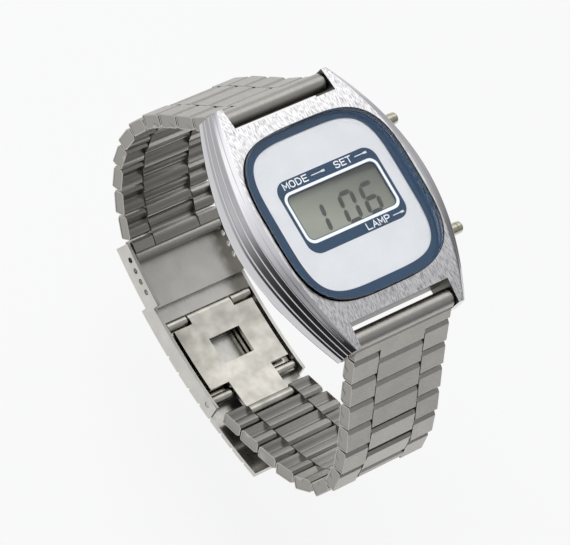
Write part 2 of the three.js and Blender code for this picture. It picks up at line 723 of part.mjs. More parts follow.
const adjustAngle = angleOf(adjustPin);
const endAngle = angleOf(endPin);
const farAngle = endAngle + turnFor(FAR_HINGE_FROM_END);
const nearAngle = adjustAngle - turnFor(NEAR_HINGE_FROM_ADJUST);
const stepAngle = adjustAngle - turnFor(STEP_FROM_ADJUST);
const coverEnd = adjustAngle + turnFor(ADJUST_END_MARGIN);
const lipAngle = endAngle - turnFor(LIP_REACH);
const middleOuter = plateInner - BLADE_GAP;
const middleInner = middleOuter - BLADE_THICKNESS;
const innerOuter = middleInner - BLADE_SPACE;
const innerInner = innerOuter - BLADE_THICKNESS;
const farHinge = polar(plateInner - HINGE_RADIUS - COLUMN_GAP, farAngle);
const nearHinge = polar((middleOuter + innerInner) / 2, nearAngle);

function hingeBore([y, z], reach) {
  return rod(HINGE_PIN_RADIUS + HINGE_BORE_GAP, -reach, reach, y, z);
}

function makeCover() {
  const wallStart = farAngle - turnFor(WALL_FROM_FAR_HINGE);
  const wallBottom = CLASP_RADIUS - COVER_WALL_DEPTH;
  const adjustBottom = adjustRadius - ADJUST_WALL_BELOW;
  let cover = join(
    prism(arcStrip(CLASP_RADIUS, plateInner, lipAngle, stepAngle, 14), -coverHalf, coverHalf),
    prism(arcStrip(CLASP_RADIUS, adjustInner, stepAngle - turnFor(COVER_THICKNESS), stepAngle, 2),
      -coverHalf, coverHalf),
    prism(arcStrip(adjustOuter, adjustInner, stepAngle - turnFor(COVER_THICKNESS), coverEnd, 5),
      -coverHalf, coverHalf),
  );
  for (const [x0, x1] of [[coverInside, coverHalf], [-coverHalf, -coverInside]]) {
    cover = join(
      cover,
      prism(arcStrip(CLASP_RADIUS - COVER_THICKNESS / 2, wallBottom, wallStart, stepAngle), x0, x1),
      prism(arcStrip(adjustOuter - COVER_THICKNESS / 2, adjustBottom,
        stepAngle - turnFor(COVER_THICKNESS), coverEnd, 5), x0, x1),
    );
  }
  for (let i = 0; i < ADJUST_HOLES; i++) {
    const [y, z] = polar(adjustRadius, adjustAngle - turnFor(i * ADJUST_HOLE_STEP));
    cover = cover.subtract(rod(ADJUST_BAR_RADIUS, -coverHalf - OVERRUN, coverHalf + OVERRUN, y, z, 8));
  }
  for (let i = 0; i < COVER_GROOVES; i++) {
    const at = lipAngle + turnFor(COVER_GROOVE_START + i * COVER_GROOVE_PITCH);
    const floor = CLASP_RADIUS - COVER_GROOVE_DEPTH;
    const side = arcStrip(CLASP_RADIUS + OVERRUN, floor, at, at + turnFor(COVER_GROOVE_WIDTH), 1);
    cover = cut(
      cover,
      prism(side, COVER_CENTRE_HALF, coverHalf + OVERRUN),
      prism(side, -coverHalf - OVERRUN, -COVER_CENTRE_HALF),
    );
  }
  const pinHole = rod(HINGE_PIN_RADIUS + FIT_GAP, -coverHalf - OVERRUN, coverHalf + OVERRUN,
    farHinge[0], farHinge[1]);
  addMesh('clasp_cover', cover.subtract(pinHole), BRUSHED);
}

function bladeWindow(outer, inner, middleAngle, length) {
  const reach = turnFor(length / 2);
  return prism(arcStrip(outer + OVERRUN, inner - OVERRUN, middleAngle - reach, middleAngle + reach, 4),
    -BLADE_WINDOW_HALF, BLADE_WINDOW_HALF);
}

function makeBlades() {
  const reach = coverHalf + OVERRUN;
  const knuckleInner = TONGUE_HALF + HINGE_SIDE_GAP;
  const sideKnuckles = ([y, z], width) => join(
    rod(HINGE_RADIUS, knuckleInner, width, y, z, BARREL_SIDES),
    rod(HINGE_RADIUS, -width, -knuckleInner, y, z, BARREL_SIDES),
  );
  const middleAngle = (farAngle + nearAngle) / 2;
  const clearNear = arcStrip(CLASP_RADIUS, innerInner - OVERRUN,
    nearAngle - turnFor(HINGE_RADIUS + HINGE_SIDE_GAP), nearAngle + turnFor(OVERRUN), 2);
  const clearFar = arcStrip(CLASP_RADIUS, innerInner - OVERRUN,
    farAngle - turnFor(OVERRUN), farAngle + turnFor(HINGE_RADIUS + HINGE_SIDE_GAP), 2);

  let middle = prism(arcStrip(middleOuter, middleInner, farAngle, nearAngle), -middleHalf, middleHalf);
  middle = cut(
    middle,
    prism(clearNear, -knuckleInner, knuckleInner),
    prism(clearFar, -knuckleInner, knuckleInner),
    bladeWindow(middleOuter, middleInner, middleAngle, BLADE_WINDOW_LENGTH),
  );
  middle = join(middle, sideKnuckles(farHinge, middleHalf), sideKnuckles(nearHinge, middleHalf));
  middle = cut(middle, hingeBore(farHinge, reach), hingeBore(nearHinge, reach));
  addMesh('middle_blade', middle, BRIGHT);

  const shoulder = farAngle + turnFor(HINGE_RADIUS + 2 * HINGE_SIDE_GAP);
  const wideEnd = nearAngle - turnFor(HINGE_RADIUS + HINGE_SIDE_GAP);
  let inner = join(
    prism(arcStrip(innerOuter, innerInner, shoulder, wideEnd), -innerHalf, innerHalf),
    prism(arcStrip(innerOuter, innerInner, endAngle, nearAngle), -TONGUE_HALF, TONGUE_HALF),
    rod(half - EDGE_BREAK, -TONGUE_HALF, TONGUE_HALF, endPin.y, endPin.z, BARREL_SIDES),
    rod(HINGE_RADIUS, -TONGUE_HALF, TONGUE_HALF, nearHinge[0], nearHinge[1], BARREL_SIDES),
  );
  inner = cut(
    inner,
    bladeWindow(innerOuter, innerInner, middleAngle, BLADE_WINDOW_LENGTH),
    rod(PIN_RADIUS + PIN_GAP, -sideInner, sideInner, endPin.y, endPin.z),
    hingeBore(nearHinge, reach),
  );
  addMesh('inner_blade', inner, BRIGHT);

  const farReach = coverHalf - FIT_GAP;
  addMesh('clasp_pin_6', rod(HINGE_PIN_RADIUS, -farReach, farReach, farHinge[0], farHinge[1]), SPRING_STEEL);
  addMesh('clasp_pin_12', rod(HINGE_PIN_RADIUS, -middleHalf, middleHalf, nearHinge[0], nearHinge[1]),
    SPRING_STEEL);
  const barReach = LINK_HALF_AT_CLASP;
  addMesh('adjust_bar', rod(ADJUST_BAR_RADIUS, -barReach, barReach, adjustPin.y, adjustPin.z), SPRING_STEEL);
}

makeCase();
makeCrystal();
makeDisplay();
makeModule();
makeBack();
makeButton('upper', 1);
makeButton('lower', -1);
makeBracelet('12', 1, pins12, HEADINGS_12);
makeBracelet('6', -1, pins6, HEADINGS_6);
makeCover();
makeBlades();

export default group;
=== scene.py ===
# Digital wristwatch on its folded-link bracelet: the looks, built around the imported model.
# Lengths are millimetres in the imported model's frame unless marked, and meshes are made in metres.

import json
import math

import bmesh
import bpy
import numpy as np
from mathutils import Matrix, Vector

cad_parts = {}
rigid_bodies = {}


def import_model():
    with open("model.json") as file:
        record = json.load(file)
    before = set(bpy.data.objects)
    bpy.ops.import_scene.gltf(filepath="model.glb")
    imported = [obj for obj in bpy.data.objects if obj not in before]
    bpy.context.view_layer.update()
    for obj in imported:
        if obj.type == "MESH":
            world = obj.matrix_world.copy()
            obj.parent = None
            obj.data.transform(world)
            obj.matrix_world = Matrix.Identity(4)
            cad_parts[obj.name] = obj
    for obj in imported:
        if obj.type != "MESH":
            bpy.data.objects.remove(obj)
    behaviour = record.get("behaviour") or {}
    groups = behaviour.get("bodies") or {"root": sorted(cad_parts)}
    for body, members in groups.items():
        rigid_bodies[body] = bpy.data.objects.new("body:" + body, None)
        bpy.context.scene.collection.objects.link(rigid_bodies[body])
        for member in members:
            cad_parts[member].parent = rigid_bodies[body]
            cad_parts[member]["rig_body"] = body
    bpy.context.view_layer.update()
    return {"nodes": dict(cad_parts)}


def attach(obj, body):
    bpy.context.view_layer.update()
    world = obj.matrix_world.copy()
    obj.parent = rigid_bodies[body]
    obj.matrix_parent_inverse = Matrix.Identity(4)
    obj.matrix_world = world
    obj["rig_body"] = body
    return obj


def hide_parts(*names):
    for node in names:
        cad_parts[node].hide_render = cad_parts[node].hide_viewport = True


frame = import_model()

MM = 0.001
scene = bpy.context.scene

# ---------------------------------------------------------------- sizes

# Case: its flat top falls and narrows towards the lugs' tips, and the belly stands below it
CASE_TOP = 8.6
TOP_DROP = 1.2
TOP_DROP_POWER = 2.5
LUG_REACH = 18.6
TOP_HALF_WIDTH = 13.8
TIP_HALF_WIDTH = 9.8
CUSHION_POWER = 3.5
TALL_SHARE = 0.985
BELLY_BOTTOM = 1.0
BELLY_HEIGHT = 2.2
BELLY_HALF = 13.85
CAVITY_HALF = 12.25
CAVITY_TOP = 8
REBATE_HALF = 12.8
REBATE_TOP = 1.45
CUT_BELOW = -2
CUT_ABOVE = 12

# Slots between the lugs, and the holes of the spring bars
SLOT_HALF = 9.0
SLOT_WALL = 15.0
SLOT_WALL_12 = 15.1
SLOT_UNDERCUT = 0.45
SLOT_UNDERCUT_TOP = 4.2
SLOT_OVERSHOOT = 2
BAR_Y = 17.2
BAR_Z = 5.9
BAR_HOLE_REACH = 9.9
BAR_HOLE_RADIUS = 0.45

# Crystal and its seat
SEAT_Z = 7.25
RECESS_HALF = 13.31
CRYSTAL_HALF = 13.2
CRYSTAL_TALL = 0.966
CRYSTAL_TOP = 9.0
CRYSTAL_BOTTOM = 7.3
CRYSTAL_BEVEL = 0.12
GASKET_LIP = 8.3
RING_OUTER = 13.29
RING_CLEARANCE = 0.04
RING_BELOW_TOP = 0.3

# Plate round the display window, its printed layers, and the display
PLATE_TOP = 7.15
PLATE_BOTTOM = 6.95
PLATE_HALF = 12.05
LAYER = 0.012
LAYER_GAP = 0.002
LCD_TOP = 6.85
WINDOW_X = 0.45
WINDOW_Y = 0.6
WINDOW_WIDTH = 15.8
WINDOW_HEIGHT = 6.8
WINDOW_CORNER = 0.9

# Buttons, and their stepped bores from the inside out
BUTTON_Y = 8.8
BUTTON_Z = 5.1
BUTTON_END = 17.6
BUTTON_RADIUS = 0.86
BUTTON_DOME = 0.32
BUTTON_HEAD_BASE = 14.0
BUTTON_STEM_INSIDE = 10.4
STEM_RADIUS = 0.5
BORE_INSIDE = 9
BORE_END = 18
BORE_RADIUS = 0.62
POCKET_END = 11.6
POCKET_RADIUS = 1.7
COUNTERBORE_FLOOR = 12.4
COUNTERBORE_END = 19
COUNTERBORE_RADIUS = 1.15

# Case back, with the collar that enters the case
BACK_HALF = 13.2
BACK_TOP = 0.95
COLLAR_OUTER = 12.15
COLLAR_INNER = 11.55
COLLAR_TOP = 1.85

# Links: the groove across each inner face, and the outline on each side face
LOOP_CENTRE = Vector((0, -0.001, -0.013))  # metres
GROOVE_DEPTH = 0.32
GROOVE_POWER = 1.6
GROOVE_CUTS = (-0.3, -0.15, -0.07, 0, 0.07, 0.15, 0.3)
OUTLINE_MARGIN = 0.17
OUTLINE_DEPTH = 0.05
SIDE_FACE_AREA = 2
INNER_FACE_AREA = 5

MERGE_DISTANCE = 2e-6  # metres
FLAT_ANGLE = 0.6
MIN_RADIUS = 0.001
FULL_TURN = 2 * math.pi

# ---------------------------------------------------------------- meshes


def mesh_object(name, verts, faces):
    mesh = bpy.data.meshes.new(name)
    mesh.from_pydata([tuple(float(c) * MM for c in v) for v in verts], [], faces)
    mesh.update()
    obj = bpy.data.objects.new(name, mesh)
    scene.collection.objects.link(obj)
    return obj


def loft(name, rings, loop=False):
    """Skin through rings of equal count. Closed by end caps, or onto itself with loop."""
    count = len(rings[0])
    verts = [p for ring in rings for p in ring]
    faces = []
    pairs = [(i, i + 1) for i in range(len(rings) - 1)]
    if loop:
        pairs.append((len(rings) - 1, 0))
    for a, b in pairs:
        for j in range(count):
            k = (j + 1) % count
            faces.append((a * count + j, a * count + k, b * count + k, b * count + j))
    if not loop:
        faces.append(tuple(range(count - 1, -1, -1)))
        faces.append(tuple((len(rings) - 1) * count + j for j in range(count)))
    obj = mesh_object(name, verts, faces)
    outward(obj)
    return obj


def outward(obj):
    bm = bmesh.new()
    bm.from_mesh(obj.data)
    bmesh.ops.recalc_face_normals(bm, faces=bm.faces)
    bm.to_mesh(obj.data)
    bm.free()


def cushion(half, count=160, power=CUSHION_POWER, tall=TALL_SHARE, centre=(0, 0)):
    """Square outline with bulging sides, as (x, y) points."""
    turn = np.arange(count) * FULL_TURN / count
    c, s = np.cos(turn), np.sin(turn)
    x = half * np.sign(c) * np.abs(c) ** (2 / power)
    y = half * tall * np.sign(s) * np.abs(s) ** (2 / power)
    return np.stack([x + centre[0], y + centre[1]], 1)


def rounded(width, height, corner, centre, steps=10):
    """Rectangle with round corners, as (x, y) points."""
    points = []
    for quarter, (sx, sy) in enumerate([(1, 1), (-1, 1), (-1, -1), (1, -1)]):
        for i in range(steps + 1):
            turn = (quarter + i / steps) * math.pi / 2
            points.append((
                centre[0] + sx * (width / 2 - corner) + corner * math.cos(turn),
                centre[1] + sy * (height / 2 - corner) + corner * math.sin(turn),
            ))
    return np.array(points)


def by_angle(points, centre, count=240):
    """Resamples an outline at even angles about a centre, so that two outlines can be bridged."""
    rel = np.asarray(points) - centre
    closed = np.vstack([rel, rel[:1]])
    fine = np.concatenate([
        np.linspace(closed[i], closed[i + 1], 40, endpoint=False) for i in range(len(rel))
    ])
    angle = np.arctan2(fine[:, 1], fine[:, 0])
    order = np.argsort(angle)
    at = -math.pi + np.arange(count) * FULL_TURN / count
    reach = np.hypot(fine[order, 0], fine[order, 1])
    radius = np.interp(at, angle[order], reach, period=FULL_TURN)
    return np.stack([centre[0] + radius * np.cos(at), centre[1] + radius * np.sin(at)], 1)


def level(points, z):
    return np.column_stack([points, np.full(len(points), z)])


def plate(name, points, z0, z1):
    return loft(name, [level(points, z0), level(points, z1)])


def frame_plate(name, outer, inner, z0, z1, centre=(WINDOW_X, WINDOW_Y)):
    """A flat plate between an outer and an inner outline."""
    centre = np.array(centre)
    big, small = by_angle(outer, centre), by_angle(inner, centre)
    rings = [level(big, z0), level(big, z1), level(small, z1), level(small, z0)]
    return loft(name, rings, loop=True)


def turned(name, profile, origin, count=48):
    """A piece turned about the X direction: (distance along it, radius) from end to end."""
    turn = np.arange(count) * FULL_TURN / count
    rings = []
    for along, radius in profile:
        radius = max(radius, MIN_RADIUS)
        rings.append(np.stack([np.full(count, along), origin[1] + radius * np.cos(turn),
                               origin[2] + radius * np.sin(turn)], 1))
    return loft(name, rings)


def box_object(name, low, high):
    corners = ((low[0], low[1]), (high[0], low[1]), (high[0], high[1]), (low[0], high[1]))
    return loft(name, [[(x, y, z) for x, y in corners] for z in (low[2], high[2])])


def settle(obj):
    """Applies the modifiers."""
    bpy.context.view_layer.update()
    held = obj.evaluated_get(bpy.context.evaluated_depsgraph_get())
    mesh = bpy.data.meshes.new_from_object(held)
    obj.modifiers.clear()
    obj.data = mesh


def boolean(obj, tools, operation="DIFFERENCE"):
    for tool in tools:
        step = obj.modifiers.new("boolean", "BOOLEAN")
        step.object = tool
        step.operation = operation
        step.solver = "EXACT"
        settle(obj)
        bpy.data.objects.remove(tool)


def shade(obj, angle=32, weighted=True):
    for polygon in obj.data.polygons:
        polygon.use_smooth = True
    obj.data.set_sharp_from_angle(angle=math.radians(angle))
    if weighted:
        step = obj.modifiers.new("weighted normals", "WEIGHTED_NORMAL")
        step.keep_sharp = True
        step.weight = 60


def break_edges(obj, width, angle=28, segments=2):
    """Merges flat neighbours, then rounds the edges that turn by more than the angle."""
    bm = bmesh.new()
    bm.from_mesh(obj.data)
    bmesh.ops.remove_doubles(bm, verts=bm.verts, dist=MERGE_DISTANCE)
    bmesh.ops.dissolve_limit(bm, angle_limit=math.radians(FLAT_ANGLE), verts=bm.verts,
                             edges=bm.edges)
    sharp = [e for e in bm.edges
             if len(e.link_faces) == 2 and e.calc_face_angle() > math.radians(angle)]
    bmesh.ops.bevel(bm, geom=sharp, offset=width * MM, segments=segments, profile=0.6,
                    affect="EDGES", clamp_overlap=True)
    bmesh.ops.recalc_face_normals(bm, faces=bm.faces)
    bm.to_mesh(obj.data)
    bm.free()


def piece(obj, body, slot, looks, *nodes):
    """Gives a mesh its material or materials, its body and the nodes it stands for. The slot is not
    used.
    """
    obj.data.materials.clear()
    for look in looks if isinstance(looks, (list, tuple)) else [looks]:
        obj.data.materials.append(look)
    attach(obj, body)
    if nodes:
        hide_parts(*nodes)
    return obj


def fold_outline(obj):
    """Sinks the middle of a link's outer side faces, where the folded sheet's edge shows."""
    bm = bmesh.new()
    bm.from_mesh(obj.data)
    bm.faces.ensure_lookup_table()
    outermost = max(abs(v.co.x) for v in bm.verts)
    sides = [f for f in bm.faces
             if abs(f.normal.x) > 0.99 and f.calc_area() > SIDE_FACE_AREA * MM ** 2
             and abs(f.calc_center_median().x) > outermost - 0.05 * MM]
    for face in sides:
        bmesh.ops.inset_individual(bm, faces=[face], thickness=OUTLINE_MARGIN * MM, depth=0)
        bmesh.ops.inset_individual(bm, faces=[face], thickness=0.5 * OUTLINE_DEPTH * MM,
                                   depth=-OUTLINE_DEPTH * MM)
    bm.to_mesh(obj.data)
    bm.free()


def inner_rib_groove(obj):
    """Parts each inner face of a link into two round ribs by a groove across its middle."""
    bm = bmesh.new()
    bm.from_mesh(obj.data)
    inner = []
    for face in bm.faces:
        if abs(face.normal.x) > 0.1 or face.calc_area() < INNER_FACE_AREA * MM ** 2:
            continue
        centre = face.calc_center_median()
        inward = LOOP_CENTRE - centre
        if face.normal.dot(inward) > 0.5 * inward.length:
            inner.append((face, centre, face.normal.copy()))
    for face, centre, normal in inner:
        along = normal.cross(Vector((1, 0, 0))).normalized()
        reach = max(abs((v.co - centre).dot(along)) for v in face.verts)
        parts = [face]
        for share in GROOVE_CUTS:
            edges = {e for f in parts for e in f.edges}
            verts = {v for f in parts for v in f.verts}
            cut = bmesh.ops.bisect_plane(bm, geom=parts + list(edges) + list(verts),
                                         plane_co=centre + along * reach * 2 * share,
                                         plane_no=along)
            parts = [g for g in cut["geom"] if isinstance(g, bmesh.types.BMFace)]
            sink = max(0, 1 - abs(share) / GROOVE_CUTS[-1]) ** GROOVE_POWER
            for v in (g for g in cut["geom_cut"] if isinstance(g, bmesh.types.BMVert)):
                v.co -= normal * GROOVE_DEPTH * MM * sink
    bm.to_mesh(obj.data)
    bm.free()


def refined(node, name, slot, looks, width, segments=2, outline=False):
    """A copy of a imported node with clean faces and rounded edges, which stands for it."""
    source = frame["nodes"][node]
    obj = bpy.data.objects.new(name, source.data.copy())
    scene.collection.objects.link(obj)
    if "custom_normal" in obj.data.attributes:
        obj.data.attributes.remove(obj.data.attributes["custom_normal"])
    break_edges(obj, width, segments=segments)
    if outline:
        fold_outline(obj)
        inner_rib_groove(obj)
    shade(obj)
    return piece(obj, source["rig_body"], slot, looks, node)


# ---------------------------------------------------------------- materials


def material(name):
    mat = bpy.data.materials.new(name)
    mat.use_nodes = True
    mat.node_tree.nodes.clear()
    return mat


class Nodes:
    """Short hand for one material's node tree."""

    def __init__(self, mat):
        self.tree = mat.node_tree

    def add(self, kind, **inputs):
        node = self.tree.nodes.new(kind)
        for key, value in inputs.items():
            self.put(node.inputs[key.replace("_", " ")], value)
        return node

    def put(self, socket, value):
        if isinstance(value, bpy.types.NodeSocket):
            self.tree.links.new(value, socket)
        else:
            socket.default_value = value

    def grain(self, scale, stretch=(1, 1, 1), detail=3.0, rough=0.55):
        """Noise in the object's own space. Scale is features per millimetre."""
        place = self.add("ShaderNodeTexCoord").outputs["Object"]
        mapped = self.add("ShaderNodeMapping", Vector=place)
        mapped.inputs["Scale"].default_value = [s / MM for s in stretch]
        return self.add("ShaderNodeTexNoise", Vector=mapped.outputs[0], Scale=scale, Detail=detail,
                        Roughness=rough).outputs["Fac"]

    def spread(self, value, low, high, start=0.3, end=0.7):
        node = self.add("ShaderNodeMapRange", Value=value)
        ends = {"From Min": start, "From Max": end, "To Min": low, "To Max": high}
        for key, number in ends.items():
            node.inputs[key].default_value = number
        return node.outputs[0]

    def blend(self, factor, first, second, kind="MIX"):
        node = self.tree.nodes.new("ShaderNodeMix")
        node.data_type = "RGBA"
        node.blend_type = kind
        for index, value in ((0, factor), (6, first), (7, second)):
            self.put(node.inputs[index], value)
        return node.outputs[2]

    def maths(self, operation, *values):
        node = self.add("ShaderNodeMath")
        node.operation = operation
        for socket, value in zip(node.inputs, values):
            self.put(socket, value)
        return node.outputs[0]

    def ramp(self, value, stops):
        """Greys with a touch of blue, from (place, grey) stops."""
        node = self.add("ShaderNodeValToRGB", Fac=value)
        marks = node.color_ramp.elements
        while len(marks) < len(stops):
            marks.new(0.5)
        for mark, (place, grey) in zip(marks, stops):
            mark.position = place
            mark.color = (grey, grey, grey * 1.01, 1)
        return node.outputs[0]

    def mixed(self, factor, first, second):
        """One shader where the factor is 0, the other where it is 1."""
        node = self.add("ShaderNodeMixShader")
        for socket, value in zip(node.inputs, (factor, first.outputs[0], second.outputs[0])):
            self.put(socket, value)
        return node

    def bump(self, height, strength, distance, under=None):
        node = self.add("ShaderNodeBump", Height=height, Strength=strength, Distance=distance * MM)
        if under is not None:
            self.put(node.inputs["Normal"], under)
        return node.outputs[0]

    def finish(self, shader, output="ShaderNodeOutputMaterial"):
        out = self.add(output)
        self.tree.links.new(shader.outputs[0], out.inputs["Surface"])


def tone(colour, share):
    return tuple(min(1.0, c * share) for c in colour) + (1.0,)


# Noise values that a pattern fades in between
SCRATCH_SPREAD = (0.42, 0.66)
# Pointiness values, not noise, between which the painted shade in hollow corners fades out
CREASE_SHADE_SPREAD = (0.47, 0.5)
SPARKLE_SPREAD = (0.45, 0.75)


def metal(name, colour, rough, stretch, scale=1.0, relief=0.25, depth=0.004, vary=0.1,
          patches=0.08, streaks=0.0, crease_shade=0.0):
    """Bare metal with a grain stretched along the way it was brushed, with painted shade darkening
    its corners and creases.
    """
    mat = material(name)
    n = Nodes(mat)
    streak = n.grain(scale, stretch, detail=4)
    cloud = n.grain(0.35, detail=2)
    base = n.blend(n.spread(cloud, 0, 1), tone(colour, 1 - patches),
                   tone(colour, 1 + patches * 0.5))
    if streaks:
        scratch = n.grain(scale, tuple(1.7 * s for s in stretch), detail=1, rough=0.4)
        base = n.blend(n.spread(scratch, 0, 1, *SCRATCH_SPREAD), base, tone(colour, 1 - streaks))
    # Painted shade: darker where the surface is hollow, in corners and creases
    if crease_shade:
        corner = n.add("ShaderNodeNewGeometry").outputs["Pointiness"]
        base = n.blend(n.spread(corner, 0, 1, *CREASE_SHADE_SPREAD), tone(colour, 1 - crease_shade), base)
    shader = n.add("ShaderNodeBsdfPrincipled", Base_Color=base, Metallic=1.0,
                   Roughness=n.spread(streak, rough - vary / 2, rough + vary / 2),
                   Normal=n.bump(streak, relief, depth))
    n.finish(shader)
    return mat


def solid(name, colour, rough, scale=3.0, relief=0.15, depth=0.01, patches=0.06, metallic=0.0,
          stretch=(1, 1, 1), sparkle=0.0, gloss=0.5):
    """Print, plastic or rubber with a fine grain."""
    mat = material(name)
    n = Nodes(mat)
    fine = n.grain(scale, stretch)
    cloud = n.grain(0.25, detail=2)
    base = n.blend(n.spread(cloud, 0, 1), tone(colour, 1 - patches), tone(colour, 1 + patches))
    if sparkle:
        flakes = n.grain(scale * 2, stretch, detail=1)
        base = n.blend(n.spread(flakes, 0, sparkle, *SPARKLE_SPREAD), base, (1, 1, 1, 1))
    shader = n.add("ShaderNodeBsdfPrincipled", Base_Color=base, Metallic=metallic,
                   Specular_IOR_Level=gloss,
                   Roughness=n.spread(fine, rough * 0.85, rough * 1.15),
                   Normal=n.bump(fine, relief, depth))
    n.finish(shader)
    return mat


GLASS_IOR = 1.33
GLASS_TINT = (0.985, 0.995, 0.99, 1)
SHADOW_TINT = (0.97, 0.98, 0.98, 1)


def glass(name):
    """Clear glass that lets lamps through to what is behind it."""
    mat = material(name)
    n = Nodes(mat)
    smear = n.grain(0.3, detail=2)
    shader = n.add("ShaderNodeBsdfPrincipled", Base_Color=GLASS_TINT, IOR=GLASS_IOR,
                   Transmission_Weight=1.0, Roughness=n.spread(smear, 0.0, 0.015))
    clear = n.add("ShaderNodeBsdfTransparent", Color=SHADOW_TINT)
    rays = n.add("ShaderNodeLightPath")
    n.finish(n.mixed(rays.outputs["Is Shadow Ray"], shader, clear))
    return mat


FACE_TINTS = ((0.235, 0.245, 0.210, 1), (0.255, 0.265, 0.225, 1))
FACE_SHADE = (0.035, 0.038, 0.037, 1)
SHADE_SLANT = 0.4
SLANT_SPREAD = (-2.5 * MM, 6.5 * MM)
EDGE_SPREAD = (2.8 * MM, 4.1 * MM)


def display_face():
    """Grey-green display, darker to its upper right and at its upper edge, where the window's
    wall shades it."""
    mat = material("display face")
    n = Nodes(mat)
    fine = n.grain(5)
    place = n.add("ShaderNodeSeparateXYZ", Vector=n.add("ShaderNodeTexCoord").outputs["Object"])
    slant = n.maths("MULTIPLY_ADD", place.outputs["X"], SHADE_SLANT, place.outputs["Y"])
    across = n.spread(slant, 0, 0.8, *SLANT_SPREAD)
    upper = n.spread(place.outputs["Y"], 0, 0.5, *EDGE_SPREAD)
    face = n.blend(n.spread(fine, 0, 1), *FACE_TINTS)
    base = n.blend(n.maths("ADD", across, upper), face, FACE_SHADE)
    shader = n.add("ShaderNodeBsdfPrincipled", Base_Color=base, Specular_IOR_Level=0.2,
                   Roughness=n.spread(fine, 0.28, 0.36), Normal=n.bump(fine, 0.05, 0.003))
    n.finish(shader)
    return mat


CHROME = metal("chrome polished", (0.60, 0.60, 0.62), 0.05, (2, 0.4, 2), relief=0.02, vary=0.03,
               patches=0.02)
BRUSHED = metal("chrome brushed lengthwise", (0.93, 0.925, 0.93), 0.3, (7, 0.42, 7), relief=0.45,
                depth=0.006, vary=0.14, patches=0.01, streaks=0.55)
# Steel darkened to paint the shade and dark reflections on the slot walls and the crystal's seat
SHADED_WALL_STEEL = metal("slot wall and seat painted shade", (0.17, 0.17, 0.15), 0.35, (4, 2, 4), relief=0.3)
# Link and case back steel, with painted shade in its creases
SATIN = metal("link steel satin", (0.50, 0.485, 0.45), 0.36, (3.2, 5.5, 5.5), relief=0.35,
              vary=0.12, streaks=0.16, crease_shade=0.32)
CLASP = metal("clasp steel satin", (0.62, 0.605, 0.57), 0.33, (6, 1.2, 1.2), relief=0.3,
              vary=0.12)
# Blade steel, with painted shade in its creases
BLADE = metal("blade steel polished", (0.56, 0.54, 0.485), 0.2, (1, 5, 5), relief=0.15,
              vary=0.08, patches=0.3, crease_shade=0.3)
NICKEL = metal("button nickel", (0.58, 0.56, 0.45), 0.2, (6, 1, 1), relief=0.2)
WIRE = metal("drawn steel wire", (0.52, 0.52, 0.52), 0.3, (1, 8, 8), relief=0.2)
FOIL = metal("matte foil", (0.75, 0.75, 0.73), 0.4, (4, 4, 4), relief=0.3)
BRASS = metal("spring brass", (0.70, 0.55, 0.25), 0.3, (1, 6, 6), relief=0.2)
CELL = metal("plated cell steel", (0.66, 0.66, 0.65), 0.3, (5, 5, 1), relief=0.2)
RUBBER = solid("gasket rubber", (0.03, 0.03, 0.02), 0.7, scale=6)
NAVY = solid("navy print", (0.006, 0.033, 0.080), 0.42, scale=14, relief=0.08, depth=0.003,
             gloss=0.1)
SILVER = solid("silver print", (0.60, 0.605, 0.64), 0.5, scale=3.2, relief=0.3, depth=0.005,
               metallic=0.25, patches=0.03, sparkle=0.2, gloss=0.2)
WHITE = solid("white print", (0.74, 0.755, 0.78), 0.45, scale=14, relief=0.08, depth=0.003,
              patches=0.02, gloss=0.2)
LCD = display_face()
SEGMENT = solid("display segments", (0.042, 0.046, 0.044), 0.4, scale=8, relief=0.05,
                depth=0.002, gloss=0.2)
ELASTOMER = solid("contact elastomer", (0.52, 0.27, 0.28), 0.6, scale=4)
MOULDING = solid("module moulding", (0.028, 0.029, 0.028), 0.5, scale=4)
LAMINATE = solid("board laminate", (0.03, 0.11, 0.045), 0.35, scale=6, stretch=(1, 3, 1))
EPOXY = solid("chip epoxy", (0.008, 0.008, 0.009), 0.45, scale=8)
GLASS = glass("crystal glass")

# ---------------------------------------------------------------- case

# Flank from the edge of the flat top to the flange's lower edge: how far out and how far down
# each corner lies at the case's middle, the same at a lug's tip, and how much of it is rounded
FLANK = [
    (0.0, 0.0, 0.0, 0.0, 0.3), (0.85, 0.16, 0.34, 0.3, 0.3), (0.8, 0.3, 0.38, 0.36, 0.3),
    (1.75, 0.5, 0.7, 0.66, 0.35), (1.35, 0.9, 0.45, 0.86, 0.2), (2.0, 1.75, 0.95, 1.35, 0.35),
    (1.4, 2.15, 0.65, 1.6, 0.2), (2.15, 3.1, 1.2, 2.15, 0.35), (1.9, 3.4, 0.92, 2.4, 0.2),
    (2.2, 3.8, 1.24, 2.7, 0.3), (2.2, 5.1, 1.24, 3.5, 0.4), (1.85, 6.0, 0.95, 4.0, 0.3),
]
FLANK_POWER = 1.6
CORNER_POINTS = 6
CASE_STATIONS = 150
CASE_EDGE = 0.07

# What tells the case's faces apart
FLAT_NORMAL = 0.93
SLOT_SHADE_DEPTH = 0.6
SEAT_SHARE = 1.01
CHROME_FACE, BRUSHED_FACE, SHADED_WALL_FACE = range(3)


def top_half(y):
    """Half the width of the case's flat top."""
    return TOP_HALF_WIDTH - (TOP_HALF_WIDTH - TIP_HALF_WIDTH) * (abs(y) / LUG_REACH) ** 2


def top_height(along):
    """Height of the case's flat top, at a share of the way to a lug's tip."""
    return CASE_TOP - TOP_DROP * along ** TOP_DROP_POWER


